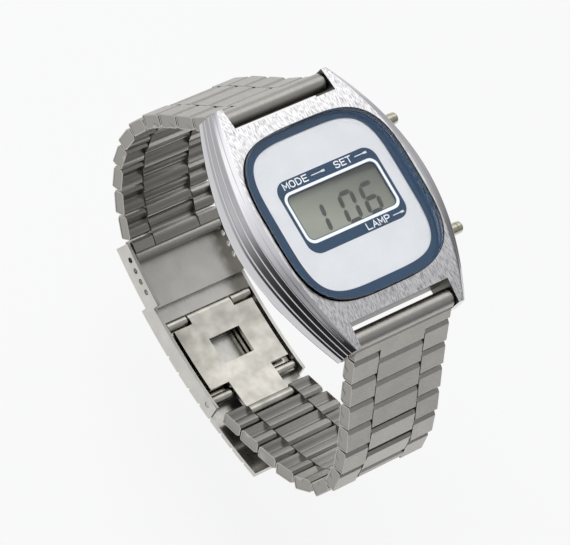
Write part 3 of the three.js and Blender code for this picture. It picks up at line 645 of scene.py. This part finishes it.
def case_half_section(y):
    """The right half of the case's section, from its flat top down, as (x, z) points."""
    along = abs(y) / LUG_REACH
    top = top_height(along)
    half = top_half(y)
    tip = along ** FLANK_POWER
    corners = [(half + out + (tip_out - out) * tip, top - down - (tip_down - down) * tip)
               for out, down, tip_out, tip_down, _ in FLANK]
    path = [(half - 1.0, top)] + corners + [(corners[-1][0] - 1.0, corners[-1][1])]
    points = []
    for i, (*_, share) in enumerate(FLANK):
        before, here, after = (np.array(p) for p in path[i:i + 3])
        a = here + (before - here) * share
        b = here + (after - here) * share
        for t in np.linspace(0, 1, CORNER_POINTS):
            points.append((1 - t) ** 2 * a + 2 * t * (1 - t) * here + t ** 2 * b)
    return np.array(points)


def case_shell():
    rings = []
    for i in range(CASE_STATIONS + 1):
        y = -LUG_REACH * math.cos(math.pi * i / CASE_STATIONS)
        right = case_half_section(y)
        outline = np.vstack([right, right[::-1] * (-1, 1)])
        rings.append(np.column_stack([outline[:, 0], np.full(len(outline), y), outline[:, 1]]))
    return loft("case_shell", rings)


def slot_tools(side):
    """The slot between two lugs. Its wall is undercut below the upper edge."""
    tools = []
    for wall, top in ((SLOT_WALL_12 if side > 0 else SLOT_WALL, CUT_ABOVE),
                      (SLOT_WALL - SLOT_UNDERCUT, SLOT_UNDERCUT_TOP)):
        low, high = sorted((side * wall, side * (LUG_REACH + SLOT_OVERSHOOT)))
        tools.append(box_object("slot", (-SLOT_HALF, low, CUT_BELOW), (SLOT_HALF, high, top)))
    return tools


def case_face(polygon):
    """Which of the case's materials a face of it has."""
    x, y, z = (c / MM for c in polygon.center)
    on_top = z > CASE_TOP - TOP_DROP - 0.1 and abs(x) < top_half(y)
    if polygon.normal.z > FLAT_NORMAL and on_top:
        return BRUSHED_FACE
    # Slot walls and the crystal's seat get the darkened steel, a painted shade and dark reflection
    slot = abs(x) < SLOT_HALF + 0.01 and abs(y) > SLOT_WALL - SLOT_SHADE_DEPTH
    share = (abs(x / RECESS_HALF) ** CUSHION_POWER
             + abs(y / RECESS_HALF / CRYSTAL_TALL) ** CUSHION_POWER)
    seat = share < SEAT_SHARE and z > SEAT_Z - 0.05
    return SHADED_WALL_FACE if slot or seat else CHROME_FACE


def make_case():
    case = case_shell()
    belly = plate("belly", cushion(BELLY_HALF), BELLY_BOTTOM, BELLY_BOTTOM + BELLY_HEIGHT)
    boolean(case, [belly], "UNION")
    tools = [
        plate("recess", cushion(RECESS_HALF, tall=CRYSTAL_TALL), SEAT_Z, CUT_ABOVE),
        plate("cavity", cushion(CAVITY_HALF), CUT_BELOW, CAVITY_TOP),
        plate("rebate", cushion(REBATE_HALF), CUT_BELOW, REBATE_TOP),
    ]
    for side in (1, -1):
        tools += slot_tools(side)
        bar_hole = [(-BAR_HOLE_REACH, BAR_HOLE_RADIUS), (BAR_HOLE_REACH, BAR_HOLE_RADIUS)]
        tools.append(turned("bar_hole", bar_hole, (0, side * BAR_Y, BAR_Z)))
        for name, start, end, radius in (
            ("bore", BORE_INSIDE, BORE_END, BORE_RADIUS),
            ("counterbore", COUNTERBORE_FLOOR, COUNTERBORE_END, COUNTERBORE_RADIUS),
            ("pocket", BORE_INSIDE, POCKET_END, POCKET_RADIUS),
        ):
            tools.append(turned(name, [(start, radius), (end, radius)],
                                (0, side * BUTTON_Y, BUTTON_Z)))
    boolean(case, tools)
    break_edges(case, CASE_EDGE, angle=42)
    shade(case, 34)
    piece(case, "root", "case_steel", [CHROME, BRUSHED, SHADED_WALL_STEEL], "case_body")
    for polygon in case.data.polygons:
        polygon.material_index = case_face(polygon)


# The crystal's side faces towards this direction get dark rubber: a painted dark reflection of the
# gasket, which the glass shows on that side
PAINTED_GASKET_LINE_SIDE = (0.86, 0.5)


def crystal_ring(inset, z):
    return level(cushion(CRYSTAL_HALF - CRYSTAL_BEVEL * inset, tall=CRYSTAL_TALL), z)


def make_crystal():
    rings = []
    for turn in np.linspace(0, 1, 5) * math.pi / 2:
        rings.append(crystal_ring(1 - math.sin(turn),
                                  CRYSTAL_BOTTOM + CRYSTAL_BEVEL * (1 - math.cos(turn))))
    rings.append(crystal_ring(0, GASKET_LIP))
    for turn in np.linspace(0, 1, 9) * math.pi / 2:
        rings.append(crystal_ring(1 - math.cos(turn),
                                  CRYSTAL_TOP - CRYSTAL_BEVEL * (1 - math.sin(turn))))
    crystal = loft("crystal_pane", rings)
    shade(crystal, 40)
    piece(crystal, "root", "crystal_glass", [GLASS, RUBBER], "crystal")
    for polygon in crystal.data.polygons:
        away = polygon.normal.x * PAINTED_GASKET_LINE_SIDE[0] + polygon.normal.y * PAINTED_GASKET_LINE_SIDE[1]
        upright = abs(polygon.normal.z) < 0.6
        # Painted reflection: the far side's upright glass faces get the dark rubber
        if upright and away > 0.2 and polygon.center.z > GASKET_LIP * MM:
            polygon.material_index = 1

    ring_top = top_height(CRYSTAL_HALF / LUG_REACH) - 0.05 - RING_BELOW_TOP
    ring = frame_plate("crystal_gasket_ring", cushion(RING_OUTER, tall=CRYSTAL_TALL),
                       cushion(CRYSTAL_HALF + RING_CLEARANCE, tall=CRYSTAL_TALL),
                       SEAT_Z + RING_CLEARANCE, ring_top, centre=(0, 0))
    shade(ring)
    piece(ring, "root", "gasket_rubber", RUBBER, "crystal_gasket")

    border = frame_plate("crystal_border_print", cushion(CRYSTAL_HALF + 0.02, tall=CRYSTAL_TALL),
                         cushion(11.25, power=4.3, tall=1.004, centre=(0.2, 0.15)),
                         CRYSTAL_BOTTOM - 0.03, CRYSTAL_BOTTOM - 0.01, centre=(0, 0))
    shade(border)
    piece(border, "root", "dial_print", NAVY)


# ---------------------------------------------------------------- dial

NAVY_LAYER = 1
WHITE_LAYER = 2


def layer_heights(order):
    """Lower and upper face of a printed layer. Order counts the layers from the plate up."""
    z0 = PLATE_TOP + order * LAYER + LAYER_GAP
    return z0, z0 + LAYER - LAYER_GAP


def printed(name, outer, inner, order, look):
    obj = frame_plate(name, outer, inner, *layer_heights(order))
    shade(obj, weighted=False)
    piece(obj, "root", "dial_print", look)


def make_dial():
    window = rounded(WINDOW_WIDTH, WINDOW_HEIGHT, WINDOW_CORNER, (WINDOW_X, WINDOW_Y))
    board = frame_plate("dial_plate_board", cushion(PLATE_HALF), window, PLATE_BOTTOM, PLATE_TOP)
    shade(board)
    piece(board, "root", "dial_print", NAVY, "dial_plate")
    printed("dial_silver_field", cushion(11.6, power=4.2, tall=1.0), window, 0, SILVER)
    printed("dial_navy_block", rounded(17.9, 11.1, 1.9, (0.47, 0.65)), window, NAVY_LAYER, NAVY)
    printed("dial_white_outline", rounded(16.95, 7.85, 1.35, (0.45, 0.58)),
            rounded(16.1, 7.0, 1.0, (0.45, 0.6)), WHITE_LAYER, WHITE)


# Strokes of the legends' letters in a cell one unit wide and one high
GLYPHS = {
    "S": [[(0.95, 0.86), (0.75, 1), (0.25, 1), (0.05, 0.86), (0.05, 0.66), (0.22, 0.54),
           (0.78, 0.46), (0.95, 0.34), (0.95, 0.14), (0.75, 0), (0.25, 0), (0.05, 0.14)]],
    "E": [[(0.95, 1), (0.08, 1), (0.08, 0), (0.95, 0)], [(0.08, 0.52), (0.8, 0.52)]],
    "T": [[(0, 1), (1, 1)], [(0.5, 1), (0.5, 0)]],
    "M": [[(0.02, 0), (0.02, 1), (0.5, 0.3), (0.98, 1), (0.98, 0)]],
    "O": [[(0.3, 1), (0.7, 1), (0.97, 0.78), (0.97, 0.22), (0.7, 0), (0.3, 0), (0.03, 0.22),
           (0.03, 0.78), (0.3, 1)]],
    "D": [[(0.06, 0), (0.06, 1), (0.62, 1), (0.95, 0.75), (0.95, 0.25), (0.62, 0), (0.06, 0)]],
    "L": [[(0.08, 1), (0.08, 0), (0.92, 0)]],
    "A": [[(0, 0), (0.5, 1), (1, 0)], [(0.2, 0.36), (0.8, 0.36)]],
    "P": [[(0.06, 0), (0.06, 1), (0.7, 1), (0.95, 0.86), (0.95, 0.6), (0.7, 0.46), (0.06, 0.46)]],
}


LETTER_PITCH = 1.32
LETTER_STROKE = 0.16
POINTER_STROKE = 0.11
HEAD_STROKE = 0.3
HEAD_START = 0.42
HEAD_END = 0.1


def unit(vector, other):
    """A vector's direction, or the other's where the vector has no length."""
    length = np.linalg.norm(vector)
    return vector / length if length > 0 else other / np.linalg.norm(other)


def strip(path, width, z0, z1, verts, faces):
    """A flat printed stroke along a path of (x, y) points."""
    path = [np.array(p, float) for p in path]
    closed = len(path) > 2 and np.allclose(path[0], path[-1])
    if closed:
        path = path[:-1]
    start = len(verts)
    count = len(path)
    for i, here in enumerate(path):
        before = path[i - 1] if (i or closed) else here
        after = path[(i + 1) % count] if (i < count - 1 or closed) else here
        first = unit(here - before, after - here)
        last = unit(after - here, first)
        along = (first + last) / np.linalg.norm(first + last)
        if not closed and i in (0, count - 1):
            here = here + along * width / 2 * (-1 if i == 0 else 1)
        stretch = 1 / max(0.45, float(along @ first))
        side = np.array([-along[1], along[0]]) * width / 2 * stretch
        a, b = here + side, here - side
        verts += [(*a, z0), (*b, z0), (*b, z1), (*a, z1)]
    for i in range(count if closed else count - 1):
        p, q = start + 4 * i, start + 4 * ((i + 1) % count)
        for k in range(4):
            faces.append((p + k, p + (k + 1) % 4, q + (k + 1) % 4, q + k))
    if not closed:
        faces.append((start + 3, start + 2, start + 1, start))
        end = start + 4 * (count - 1)
        faces.append((end, end + 1, end + 2, end + 3))


def flat_print(name, verts, faces, slot, look):
    obj = mesh_object(name, verts, faces)
    outward(obj)
    shade(obj, weighted=False)
    piece(obj, "root", slot, look)


def legend(name, word, x0, x1, base, height, arrow):
    """A short word between x0 and x1 and a pointer line with a small head to its right."""
    z0, z1 = layer_heights(WHITE_LAYER)
    verts, faces = [], []
    width = (x1 - x0) / (len(word) * LETTER_PITCH - (LETTER_PITCH - 1))
    for k, letter in enumerate(word):
        left = x0 + k * width * LETTER_PITCH
        for stroke in GLYPHS[letter]:
            strip([(left + u * width, base + v * height) for u, v in stroke], LETTER_STROKE,
                  z0, z1, verts, faces)
    middle = base + height / 2
    start, end = arrow
    strip([(start, middle), (end, middle)], POINTER_STROKE, z0, z1, verts, faces)
    strip([(end - HEAD_START, middle), (end - HEAD_END, middle)], HEAD_STROKE, z0, z1, verts,
          faces)
    flat_print(name, verts, faces, "dial_print", WHITE)


# Segments that are on, of a to g, for each digit
DIGITS = {"0": "abcdef", "1": "bc", "6": "acdefg"}
DIGIT_CENTRES = (("1", -4.2), ("0", 1.3), ("6", 5.13))
DIGIT_BASE = -2.6
DIGIT_HEIGHT = 4.1
DIGIT_WIDTH = 2.15
DIGIT_LEAN = 0.13
SEGMENT_WIDTH = 0.68
SEGMENT_GAP = 0.07
SEGMENT_BOTTOM = LCD_TOP + 0.004
SEGMENT_TOP = LCD_TOP + 0.02


def digit(figure, left, verts, faces):
    """The lit segments of a digit, as flat bars with pointed ends."""
    half = DIGIT_HEIGHT / 2
    reach = SEGMENT_WIDTH / 2
    top_left, top_right = (0, DIGIT_HEIGHT), (DIGIT_WIDTH, DIGIT_HEIGHT)
    mid_left, mid_right = (0, half), (DIGIT_WIDTH, half)
    low_left, low_right = (0, 0), (DIGIT_WIDTH, 0)
    ends = {
        "a": (top_left, top_right), "b": (top_right, mid_right), "c": (mid_right, low_right),
        "d": (low_left, low_right), "e": (mid_left, low_left), "f": (top_left, mid_left),
        "g": (mid_left, mid_right),
    }
    for segment in DIGITS[figure]:
        a, b = (np.array(end, float) for end in ends[segment])
        along = (b - a) / np.linalg.norm(b - a)
        out = np.array([-along[1], along[0]]) * reach
        a, b = a + along * SEGMENT_GAP, b - along * SEGMENT_GAP
        near, far = a + along * reach, b - along * reach
        outline = [a, near + out, far + out, b, far - out, near - out]
        start = len(verts)
        for z in (SEGMENT_BOTTOM, SEGMENT_TOP):
            for x, y in outline:
                verts.append((left + x + DIGIT_LEAN * (y - half), DIGIT_BASE + y, z))
        faces.append(tuple(start + k for k in range(5, -1, -1)))
        faces.append(tuple(start + 6 + k for k in range(6)))
        for k in range(6):
            m = (k + 1) % 6
            faces.append((start + k, start + m, start + 6 + m, start + 6 + k))


def make_display():
    refined("lcd_panel", "lcd_panel_glass", "lcd_glass", LCD, width=0.05)
    verts, faces = [], []
    for figure, centre in DIGIT_CENTRES:
        digit(figure, centre - DIGIT_WIDTH / 2, verts, faces)
    flat_print("lcd_digits", verts, faces, "lcd_glass", SEGMENT)


# ---------------------------------------------------------------- buttons and back

# Rounded edge of a button's head, and the groove round it: distances from its outer end
HEAD_EDGE = 0.08
HEAD_GROOVE = 0.07
HEAD_GROOVE_SPAN = (1.15, 1.08, 0.98, 0.91)
DOME_RADIUS = 0.3
DOME_FLAT = 0.35


def make_button(place, side):
    r = BUTTON_RADIUS
    inside, base, end = BUTTON_STEM_INSIDE, BUTTON_HEAD_BASE, BUTTON_END
    start, floor_start, floor_end, close = (end - d for d in HEAD_GROOVE_SPAN)
    profile = [
        (inside, 0.0), (inside, STEM_RADIUS - 0.06), (inside + 0.06, STEM_RADIUS),
        (base, STEM_RADIUS), (base, r - HEAD_EDGE), (base + HEAD_EDGE, r),
        (start, r), (floor_start, r - HEAD_GROOVE), (floor_end, r - HEAD_GROOVE), (close, r),
        (end - BUTTON_DOME, r),
    ]
    for turn in np.linspace(0.2, 1, 5) * math.pi / 2:
        profile.append((end - BUTTON_DOME + DOME_RADIUS * math.sin(turn),
                        r - DOME_RADIUS * (1 - math.cos(turn))))
    profile += [(end, DOME_FLAT), (end, 0.0)]
    button = turned(f"button_{place}_turned", profile, (0, side * BUTTON_Y, BUTTON_Z), count=64)
    shade(button, 30)
    piece(button, f"button_{place}", "button_metal", NICKEL, f"button_{place}")


# Case back from its outer face up, and its collar: (how far inside its edge, height)
BACK_FOOT = [(0.3, 0.0), (0.22, 0.03)]
BACK_EDGE = 0.2
BACK_EDGE_START = 0.05
BACK_EDGE_HEIGHT = 0.25


def make_back():
    rings = [level(cushion(BACK_HALF - inset), z) for inset, z in BACK_FOOT]
    for turn in np.linspace(0, 1, 5) * math.pi / 2:
        rings.append(level(cushion(BACK_HALF - BACK_EDGE * (1 - math.sin(turn))),
                           BACK_EDGE_START + BACK_EDGE_HEIGHT * (1 - math.cos(turn))))
    for half, z in ((BACK_HALF, 0.9), (BACK_HALF - 0.05, BACK_TOP), (COLLAR_OUTER, BACK_TOP),
                    (COLLAR_OUTER, COLLAR_TOP), (COLLAR_INNER, COLLAR_TOP),
                    (COLLAR_INNER, BACK_TOP)):
        rings.append(level(cushion(half), z))
    back = loft("case_back_plate", rings)
    shade(back)
    piece(back, "root", "link_steel", SATIN, "case_back")


# ---------------------------------------------------------------- make everything

make_case()
make_crystal()
make_dial()
legend("dial_legend_upper_left", "MODE", -7.0, -2.7, 4.98, 0.88, (-1.9, 0.4))
legend("dial_legend_upper_right", "SET", 2.3, 5.3, 4.98, 0.88, (6.0, 8.1))
legend("dial_legend_lower_right", "LAMP", 1.7, 5.9, -4.55, 0.88, (6.6, 8.5))
make_display()
make_button("upper", 1)
make_button("lower", -1)
make_back()

LINKS = [n for n in frame["nodes"] if n.startswith(("link_", "end_link_"))]
for node in LINKS:
    refined(node, node + "_steel", "link_steel", SATIN, width=0.2, segments=3, outline=True)
refined("clasp_cover", "clasp_cover_steel", "clasp_steel", CLASP, width=0.12)
refined("middle_blade", "middle_blade_steel", "blade_steel", BLADE, width=0.1)
refined("inner_blade", "inner_blade_steel", "blade_steel", BLADE, width=0.1)

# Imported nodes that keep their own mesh
PLAIN = {
    WIRE: ["spring_bar_12", "spring_bar_6", "adjust_bar", "clasp_pin_6", "clasp_pin_12",
           "button_spring_upper", "button_spring_lower", "button_clip_upper",
           "button_clip_lower"],
    FOIL: ["lcd_reflector", "lamp", "quartz_can"],
    ELASTOMER: ["contact_strip_12", "contact_strip_6"],
    MOULDING: ["module_frame"],
    LAMINATE: ["circuit_board"],
    EPOXY: ["driver_chip"],
    BRASS: ["trimmer", "battery_clamp"],
    CELL: ["battery_cell"],
    RUBBER: ["case_back_gasket"],
}
for mat, names in PLAIN.items():
    for node in names:
        mesh = frame["nodes"][node].data
        mesh.materials.clear()
        mesh.materials.append(mat)

# ---------------------------------------------------------------- floor, light and camera


FLOOR_TINTS = ((0.92, 0.92, 0.925, 1), (0.95, 0.95, 0.95, 1))
FLOOR_GLOW = 0.84
PURE_WHITE = (1, 1, 1, 1)


def stage_material():
    """Pale floor that the camera and mirrors see nearly white, and that keeps its shadow."""
    mat = material("pale floor")
    n = Nodes(mat)
    cloud = n.grain(0.01, detail=2)
    diffuse = n.add("ShaderNodeBsdfDiffuse", Color=n.blend(n.spread(cloud, 0, 1), *FLOOR_TINTS))
    glow = n.add("ShaderNodeEmission", Color=PURE_WHITE, Strength=1.0)
    rays = n.add("ShaderNodeLightPath")
    seen = n.maths("MAXIMUM", rays.outputs["Is Camera Ray"], rays.outputs["Is Glossy Ray"])
    n.finish(n.mixed(n.maths("MULTIPLY", seen, FLOOR_GLOW), diffuse, glow))
    return mat


# The floor lies below the clasp's lowest pose, as the table lies below the photograph's stand
FLOOR_Z = -60
FLOOR_REACH = 900
floor = mesh_object("floor", [(x * FLOOR_REACH, y * FLOOR_REACH, FLOOR_Z)
                              for x, y in ((-1, -1), (1, -1), (1, 1), (-1, 1))], [(0, 1, 2, 3)])
floor.data.materials.append(stage_material())

# Greys of the studio that shiny pieces mirror, by height from straight down (0) to up (1): the
# white tent, and the dark gap in it at the open front
TENT = [(0.44, 0.75), (0.5, 0.42), (0.62, 0.42), (0.78, 0.75), (0.9, 1.0)]
GAP = [(0.4, 0.4), (0.46, 0.1), (0.52, 0.055), (0.8, 0.065), (0.93, 0.15), (1.0, 0.6)]
GAP_DIRECTION = (-0.745, -0.497, 0.447)
GAP_SPREAD = (0.68, 0.95)

# The tent is brighter towards 12 o'clock
SIDE_6_TINT = (0.5, 0.5, 0.51, 1)
SIDE_12_TINT = (1.55, 1.55, 1.55, 1)
SIDE_SPREAD = (0.0, 0.35)

DAYLIGHT = (0.93, 0.96, 1.0, 1)
DAYLIGHT_STRENGTH = 0.42


def make_world():
    """White to the camera and through glass, the studio in mirrors, plain daylight otherwise."""
    world = bpy.data.worlds.new("studio")
    scene.world = world
    world.use_nodes = True
    world.node_tree.nodes.clear()
    n = Nodes(world)
    direction = n.add("ShaderNodeTexCoord").outputs["Generated"]
    parts = n.add("ShaderNodeSeparateXYZ", Vector=direction)
    height = n.maths("MULTIPLY_ADD", parts.outputs["Z"], 0.5, 0.5)
    front = n.add("ShaderNodeVectorMath")
    front.operation = "DOT_PRODUCT"
    n.put(front.inputs[0], direction)
    n.put(front.inputs[1], GAP_DIRECTION)
    in_gap = n.spread(front.outputs["Value"], 0, 1, *GAP_SPREAD)
    towards_12 = n.spread(parts.outputs["Y"], 0, 1, *SIDE_SPREAD)
    mirrored = n.blend(1.0, n.blend(in_gap, n.ramp(height, TENT), n.ramp(height, GAP)),
                       n.blend(towards_12, SIDE_6_TINT, SIDE_12_TINT), "MULTIPLY")
    rays = n.add("ShaderNodeLightPath")
    white = n.add("ShaderNodeBackground", Color=PURE_WHITE, Strength=1.0)
    studio = n.add("ShaderNodeBackground", Color=mirrored, Strength=1.0)
    daylight = n.add("ShaderNodeBackground", Color=DAYLIGHT, Strength=DAYLIGHT_STRENGTH)
    unseen = n.mixed(rays.outputs["Is Glossy Ray"], daylight, studio)
    seen = n.maths("MAXIMUM", rays.outputs["Is Camera Ray"], rays.outputs["Is Transmission Ray"])
    n.finish(n.mixed(seen, unseen, white), "ShaderNodeOutputWorld")


def softbox(name, spot, target, size, watts):
    """A soft lamp that shiny pieces don't mirror."""
    data = bpy.data.lights.new(name, "AREA")
    data.shape = "RECTANGLE"
    data.size, data.size_y = size
    data.energy = watts
    obj = bpy.data.objects.new(name, data)
    scene.collection.objects.link(obj)
    obj.location = spot
    obj.rotation_euler = (Vector(target) - Vector(spot)).to_track_quat("-Z", "Y").to_euler()
    obj.visible_glossy = False


make_world()
softbox("softbox high", (-0.15, 0.35, 0.7), (0, 0, 0), (0.5, 0.5), 2.6)
softbox("softbox left", (-0.7, 0.1, 0.3), (0, 0, -0.01), (0.4, 0.5), 0.8)

# The camera stands where the photograph was taken from, with the photograph's framing
CAMERA_PLACE = Vector((-0.32356, -0.08502, 0.43167))
CAMERA_RIGHT = Vector((0.7413, -0.5004, 0.4473))
CAMERA_DOWN = Vector((-0.3323, -0.8526, -0.4033))
CAMERA_FORWARD = Vector((0.5832, 0.1503, -0.7983))
FOCAL_PIXELS = 4025.26
FRAME_WIDTH = 570
SENSOR_WIDTH = 36

camera_data = bpy.data.cameras.new("camera")
camera = bpy.data.objects.new("camera", camera_data)
scene.collection.objects.link(camera)
axes = Matrix((CAMERA_RIGHT, -CAMERA_DOWN, -CAMERA_FORWARD)).transposed()
camera.matrix_world = Matrix.Translation(CAMERA_PLACE) @ axes.to_4x4()
camera_data.sensor_fit = "HORIZONTAL"
camera_data.sensor_width = SENSOR_WIDTH
camera_data.lens = SENSOR_WIDTH * FOCAL_PIXELS / FRAME_WIDTH
camera_data.clip_start = 0.01
camera_data.clip_end = 10
scene.camera = camera
scene.view_settings.view_transform = "Standard"
